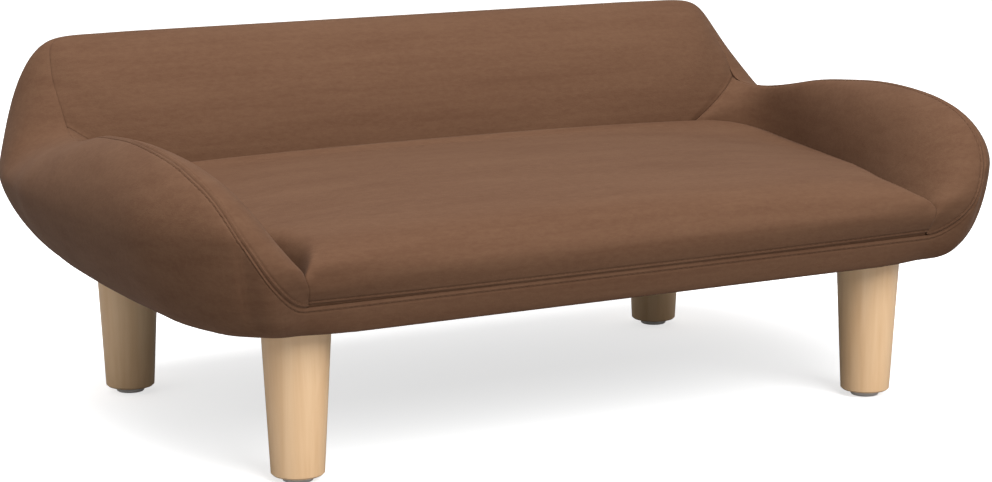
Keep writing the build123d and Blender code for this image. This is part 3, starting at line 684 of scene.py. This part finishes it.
def new_material(name):
    """Material with its shader, a helper that adds nodes to it, and one that links them."""
    material = bpy.data.materials.new(name)
    material.use_nodes = True
    tree = material.node_tree
    shader = tree.nodes["Principled BSDF"]

    def add(kind, **settings):
        node = tree.nodes.new(kind)
        for key, value in settings.items():
            if hasattr(node, key):
                setattr(node, key, value)
            else:
                node.inputs[key].default_value = value
        return node

    return material, shader, add, tree.links.new


def finish(shader, values):
    """Sets a shader's own sockets."""
    for key, value in values.items():
        shader.inputs[key].default_value = value


def noise(add, link, density, **settings):
    """Noise over the object's coordinates, with its own density along each axis."""
    where = add("ShaderNodeTexCoord")
    mapping = add("ShaderNodeMapping", Scale=density)
    link(where.outputs["Object"], mapping.inputs["Vector"])
    texture = add("ShaderNodeTexNoise", Scale=1.0, **settings)
    link(mapping.outputs["Vector"], texture.inputs["Vector"])
    return texture.outputs["Fac"]


def spread_out(add, link, value, limits):
    """A value made to run from 0 to 1 between two limits."""
    ramp = add("ShaderNodeMapRange")
    ramp.inputs["From Min"].default_value, ramp.inputs["From Max"].default_value = limits
    link(value, ramp.inputs["Value"])
    return ramp.outputs["Result"]


def mixed(add, link, share, first, second):
    """Mix of two linear colours."""
    mix = add("ShaderNodeMix", data_type="RGBA")
    mix.inputs[MIX_FIRST].default_value = first
    mix.inputs[MIX_SECOND].default_value = second
    link(share, mix.inputs[MIX_SHARE])
    return mix.outputs[MIX_RESULT]


def bump(add, link, height, strength, distance, below=None):
    """Normal of a bump, which may lie over another one."""
    node = add("ShaderNodeBump", Strength=strength, Distance=distance)
    link(height, node.inputs["Height"])
    if below is not None:
        link(below, node.inputs["Normal"])
    return node.outputs["Normal"]


def fabric_material():
    """Matt brown fabric with a short nap: faint streaks, a fine weave and a soft sheen."""
    material, shader, add, link = new_material("brown_fabric")
    both = add("ShaderNodeMath", operation="ADD")
    link(noise(add, link, FABRIC_STREAKS, Detail=5.0, Roughness=0.6), both.inputs[0])
    link(noise(add, link, FABRIC_GRAIN, Detail=4.0, Roughness=0.7), both.inputs[1])
    share = spread_out(add, link, both.outputs[0], FABRIC_RANGE)
    link(mixed(add, link, share, rgb(*FABRIC_DARK), rgb(*FABRIC_LIGHT)), shader.inputs["Base Color"])
    folds = noise(add, link, FABRIC_FOLDS, Detail=2.0, Roughness=0.5)
    soft = bump(add, link, folds, strength=0.15, distance=0.004)
    nap = noise(add, link, FABRIC_NAP, Detail=3.0, Roughness=0.6)
    fine = bump(add, link, nap, strength=0.25, distance=0.0006, below=soft)
    link(fine, shader.inputs["Normal"])
    finish(shader, FABRIC_FINISH)
    finish(shader, {"Sheen Tint": rgb(*FABRIC_SHEEN)})
    return material


def wood_material():
    """Pale varnished wood with its grain along the leg."""
    material, shader, add, link = new_material("leg_wood")
    rings = noise(add, link, WOOD_RINGS, Detail=6.0, Roughness=0.55, Distortion=0.4)
    share = spread_out(add, link, rings, WOOD_RANGE)
    link(mixed(add, link, share, rgb(*WOOD_LIGHT), rgb(*WOOD_DARK)), shader.inputs["Base Color"])
    fibres = noise(add, link, WOOD_FIBRES, Detail=2.0)
    link(bump(add, link, fibres, strength=0.15, distance=0.0004), shader.inputs["Normal"])
    finish(shader, WOOD_FINISH)
    return material


def plain_material(name, colour, roughness, metallic=0.0, grain=0.0, spread=0.08, clear=0.0):
    """Simple finish with a little variation of its colour."""
    material, shader, add, link = new_material(name)
    share = noise(add, link, (PLAIN_NOISE, PLAIN_NOISE + grain, PLAIN_NOISE + grain), Detail=4.0)
    light, dark = ([min(c * (1 + way * spread), 255) for c in colour] for way in (1, -1))
    link(mixed(add, link, share, rgb(*light), rgb(*dark)), shader.inputs["Base Color"])
    finish(shader, {"Roughness": roughness, "Metallic": metallic, "Transmission Weight": clear})
    return material


def stitch_bodies(line, normal):
    """Points of each stitch along a line that lies on a surface."""
    run = lengths(line)
    pitch = STITCH_LENGTH + STITCH_GAP
    turns = np.linspace(0, 2 * pi, STITCH_SIDES + 1)[:-1]
    sunk = STITCH_SINK * STITCH_RADIUS * (2 * np.abs(STITCH_PLACES - 0.5))**2
    bodies = []
    for start in np.arange(0, run[-1] - pitch, pitch):
        places = start + STITCH_PLACES * STITCH_LENGTH
        centre = at_lengths(line, places)
        up = np.stack([np.interp(places, run, normal[:, i]) for i in range(3)], axis=1)
        up /= np.linalg.norm(up, axis=1, keepdims=True)
        ahead = centre[-1] - centre[0]
        ahead /= np.linalg.norm(ahead)
        aside = np.cross(ahead, up)
        ring = np.cos(turns)[None, :, None] * aside[:, None] + np.sin(turns)[None, :, None] * up[:, None]
        body = centre[:, None] + ring * (STITCH_WIDTHS * STITCH_RADIUS)[:, None, None]
        bodies.append((body - (sunk[:, None] * up)[:, None]).reshape(-1, 3))
    return bodies


def stitch_faces(first):
    """Faces of one stitch from its first vertex on: the rings between its ends, and both ends."""
    rings = len(STITCH_PLACES)
    faces = []
    for i in range(rings - 1):
        start = first + i * STITCH_SIDES
        for j in range(STITCH_SIDES):
            a, b = start + j, start + (j + 1) % STITCH_SIDES
            faces.append((a, b, b + STITCH_SIDES, a + STITCH_SIDES))
    last = first + (rings - 1) * STITCH_SIDES
    faces.append(tuple(first + j for j in reversed(range(STITCH_SIDES))))
    faces.append(tuple(last + j for j in range(STITCH_SIDES)))
    return faces


def stitches(name, rows, material):
    """One object with several rows of stitches."""
    bodies = [body for line, normal in rows for body in stitch_bodies(line, normal)]
    size = len(STITCH_PLACES) * STITCH_SIDES
    faces = [face for k in range(len(bodies)) for face in stitch_faces(k * size)]
    return new_object(name, np.concatenate(bodies), faces, material)


def on_row(grid, normal, distance):
    """Line across a grid at a distance from its first row, with the normals there."""
    far = row_distances(grid)
    line, way = [], []
    for points, ups, run in zip(grid, normal, far):
        line.append([np.interp(distance, run, points[:, i]) for i in range(3)])
        way.append([np.interp(distance, run, ups[:, i]) for i in range(3)])
    return np.array(line), np.array(way)


def kept(thing, slot_name, *replaced, fill=None):
    """Enters a piece in the frame: it rides the one body and stands for these CAD nodes."""
    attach(thing, "root")
    if replaced:
        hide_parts(*replaced)
    return thing


def build_pads(inner, facing, mitre, fabric):
    """Both arm pads and the backrest pad, which meet at the mitre."""
    arm = inner[:mitre + 1]
    arm_back = behind(arm, facing[:mitre + 1], PAD_DEPTH)
    for side, sign in SIDES:
        pad = closed_sheet("arm_pad_" + side, on_side(arm, sign), on_side(arm_back, sign), fabric)
        kept(pad, "brown_fabric", "arm_cover_" + side, "arm_foam_" + side, fill=PAD_FILL)
    rest = inner[mitre:]
    rest_back = behind(rest, facing[mitre:], PAD_DEPTH)
    pad = closed_sheet("backrest_pad", full_width(rest), full_width(rest_back), fabric)
    kept(pad, "brown_fabric", "backrest_cover", "backrest_foam", fill=PAD_FILL)


def build_outer_covers(values, outer, lip, fabric):
    """The outer band and the rear panel, which meet at the seams near the rear corners."""
    from_seam = np.where(values[:, 2] < BACK_EDGE_FROM, np.inf, abs(values[:, 0] - REAR_SEAM_X))
    split = int(np.argmin(from_seam))
    band = np.concatenate([outer[split::-1], lip[::-1]])
    panel = outer[split:]
    for name, sheet, node in (("outer_band", band, "outer_cover"), ("rear_panel", panel, "rear_cover")):
        back = behind(sheet, sheet - BODY_CENTRE, COVER_THICKNESS)
        piece = closed_sheet(name, full_width(sheet), full_width(back), fabric)
        kept(piece, "brown_fabric", node)


def build_seat(grid, fabric):
    """The seat pad, from its top down to its flat underside."""
    tucked = with_tucks(grid)
    base = tucked * np.array((BASE_SHARE, 1.0, 1.0))
    base[:, :, 1] = np.maximum(base[:, :, 1], BASE_FRONT)
    base[:, :, 2] = SEAT_UNDERSIDE
    piece = closed_sheet("seat_pad", tucked, base, fabric)
    kept(piece, "brown_fabric", "seat_cover", "seat_foam", fill=SEAT_FILL)


def build_stitches(inner, outer, lip, seat, arm_end, fabric):
    """Stitches beside the arm seams and the lip's seam; each sheet comes as a grid with its normals."""
    for side, sign in SIDES:
        rows = []
        for grid, ups in (inner, outer):
            line, normal = on_row(grid[:arm_end], ups[:arm_end], ROW_PLACE)
            rows.append((on_side(line, sign), on_side(normal, sign)))
        kept(stitches("stitches_arm_" + side, rows, fabric), "brown_fabric")
    below = on_row(*[full_width(grid[::-1]) for grid in lip], ROW_PLACE)
    above = on_row(*seat, ROW_PLACE)
    kept(stitches("stitches_lip", [below, above], fabric), "brown_fabric")


def build_upholstery(fabric):
    """Seat, arms, backrest, outer cover and rear panel, with their seams and stitches."""
    values, mitre, inner, outer, lip = fabric_sheets()
    facing = inner * np.array((-1.0, 0.0, 0.0)) + INNER_FACING
    far = row_distances(inner)
    free = (far > HELD_AT_SEAM) & (far < far[:, -1:] - TUCK_DEPTH - HELD_AT_CREASE)
    free[mitre - HELD_AT_MITRE:mitre + HELD_AT_MITRE + 1] = False
    free[:HELD_AT_NOSE] = False
    inner = puffed(inner, facing, free)

    seat = seat_grid()
    free = np.zeros(seat.shape[:2], bool)
    free[HELD_IN_FRONT:-HELD_BEHIND, HELD_ASIDE:-HELD_ASIDE] = True
    seat = puffed(seat, UP, free)

    inner_up = surface_normals(inner, facing)
    outer_up = surface_normals(outer, outer - BODY_CENTRE)
    lip_up = surface_normals(lip, lip - BODY_CENTRE)
    seat_up = surface_normals(seat, SEAT_FACING)
    seat, seat_up = seat.transpose(1, 0, 2), seat_up.transpose(1, 0, 2)

    edge = inner_up[:, 0] + outer_up[:, 0]
    edge /= np.linalg.norm(edge, axis=1, keepdims=True)
    past = (np.arange(len(inner)) - mitre) * STATION_LENGTH
    rows_left = 1 / (1 + np.exp((past + ROWS_END) / ROWS_FADE))
    seam_left = BACK_SEAM_SHARE + (1 - BACK_SEAM_SHARE) * rows_left
    shares = (seam_left[:, None], rows_left[:, None])
    valley = MITRE_DEPTH * np.exp(-(past / MITRE_SPREAD)**2)

    inner, inner_up = relieved(inner, inner_up, edge, shares, valley[:, None])
    outer, outer_up = relieved(outer, outer_up, edge, shares)
    lip, lip_up = relieved(lip, lip_up, lip_up[:, 0])
    seat, seat_up = relieved(seat, seat_up, seat_up[:, 0])

    build_pads(inner, facing, mitre, fabric)
    build_outer_covers(values, outer, lip, fabric)
    build_seat(seat.transpose(1, 0, 2), fabric)
    arm_end = mitre - int(ROWS_END / STATION_LENGTH)
    build_stitches((inner, inner_up), (outer, outer_up), (lip, lip_up), (seat, seat_up), arm_end, fabric)


def slack(x, y):
    """Height of the lining at a place, from 0 at its staples down to about -3 where it hangs most."""
    wave = sin(x / LINING_WAVE + LINING_WAVE_BEND * sin(y / LINING_WAVE_TURN))
    ripple = LINING_RIPPLE_SHARE * sin(y / LINING_RIPPLE + x / LINING_RIPPLE_TURN)
    from_side = max(0.0, (LINING_HALF_WIDTH - abs(x)) / LINING_SIDE_FADE)
    from_end = max(0.0, (LINING_HALF_DEPTH - abs(y)) / LINING_END_FADE)
    return (wave + ripple - LINING_CREST) * min(1.0, from_side, from_end)


def build_dust_cloth(lining):
    """Thin lining under the base, slack between its staples."""
    shape = bmesh.new()
    shape.from_mesh(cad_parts["dust_cover"].data)
    for _ in range(LINING_ROUNDS):
        long = [edge for edge in shape.edges if edge.calc_length() > LINING_MESH * MM]
        if not long:
            break
        bmesh.ops.subdivide_edges(shape, edges=long, cuts=1)
        bmesh.ops.triangulate(shape, faces=[face for face in shape.faces if len(face.verts) > 4])
    for vertex in shape.verts:
        vertex.co.z += LINING_SAG * MM * slack(vertex.co.x / MM, vertex.co.y / MM)
    mesh = bpy.data.meshes.new("dust_cloth")
    shape.to_mesh(mesh)
    shape.free()
    kept(placed("dust_cloth", mesh, lining), "lining", "dust_cover")


def dress_cad(materials):
    """Finishes of the parts that keep their CAD shape."""
    for name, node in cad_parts.items():
        if node.hide_render:
            continue
        for words, material in materials:
            if any(word in name for word in words):
                for place in node.material_slots:
                    place.material = material
                if not node.material_slots:
                    node.data.materials.append(material)
                break


def build_floor():
    """White floor that keeps a soft shadow and throws less light back than the camera sees."""
    material, shader, add, link = new_material("floor")
    finish(shader, {"Roughness": 1.0, "Specular IOR Level": 0.0, "Emission Color": WHITE})
    seen = add("ShaderNodeLightPath").outputs["Is Camera Ray"]
    glow = add("ShaderNodeMath", operation="MULTIPLY")
    glow.inputs[1].default_value = FLOOR_GLOW
    link(seen, glow.inputs[0])
    link(glow.outputs[0], shader.inputs["Emission Strength"])
    link(mixed(add, link, seen, grey(FLOOR_BOUNCE), grey(FLOOR_WHITE)), shader.inputs["Base Color"])
    bpy.ops.mesh.primitive_plane_add(size=FLOOR_SIZE, location=(0, 0, 0))
    floor = bpy.context.object
    floor.name = "floor"
    floor.data.materials.append(material)


def build_world():
    """White surround: an even light on the object, pure white in the camera."""
    world = bpy.data.worlds.new("world")
    bpy.context.scene.world = world
    world.use_nodes = True
    tree = world.node_tree
    ambient = tree.nodes["Background"]
    seen = tree.nodes.new("ShaderNodeBackground")
    for background, strength in ((ambient, AMBIENT), (seen, 1.0)):
        background.inputs["Color"].default_value = WHITE
        background.inputs["Strength"].default_value = strength
    path = tree.nodes.new("ShaderNodeLightPath")
    mix = tree.nodes.new("ShaderNodeMixShader")
    tree.links.new(path.outputs["Is Camera Ray"], mix.inputs["Fac"])
    tree.links.new(ambient.outputs[0], mix.inputs[1])
    tree.links.new(seen.outputs[0], mix.inputs[2])
    tree.links.new(mix.outputs[0], tree.nodes["World Output"].inputs["Surface"])


def build_lamps():
    """Large soft lamps, aimed at the object."""
    for name, place, size, power in LIGHTS:
        light = bpy.data.lights.new(name, "AREA")
        light.size = size
        light.energy = power
        lamp = bpy.data.objects.new(name, light)
        lamp.location = place
        aim = Vector(AIM) - Vector(place)
        lamp.rotation_euler = aim.to_track_quat("-Z", "Y").to_euler()
        bpy.context.scene.collection.objects.link(lamp)


def build_camera():
    """The photo's view."""
    camera = bpy.data.cameras.new("camera")
    camera.lens = CAMERA_LENS
    camera.sensor_width = CAMERA_SENSOR
    camera.clip_end = CAMERA_REACH
    eye = bpy.data.objects.new("camera", camera)
    eye.location = CAMERA_PLACE
    eye.rotation_euler = (CAMERA_TILT, 0.0, CAMERA_YAW)
    bpy.context.scene.collection.objects.link(eye)
    bpy.context.scene.camera = eye


bpy.context.scene.view_settings.view_transform = "Standard"

fabric = fabric_material()
wood = wood_material()
plain = {name: plain_material(name, **values) for name, values in PLAIN_FINISHES.items()}

build_upholstery(fabric)
build_dust_cloth(plain["lining"])
dress_cad([
    (("leg_",), wood),
    (("glide_nails", "screws", "bolts", "nuts", "staples"), plain["steel"]),
    (("glide_",), plain["glide_plastic"]),
    (("board", "batten"), plain["plywood"]),
])
build_camera()
build_floor()
build_world()
build_lamps()
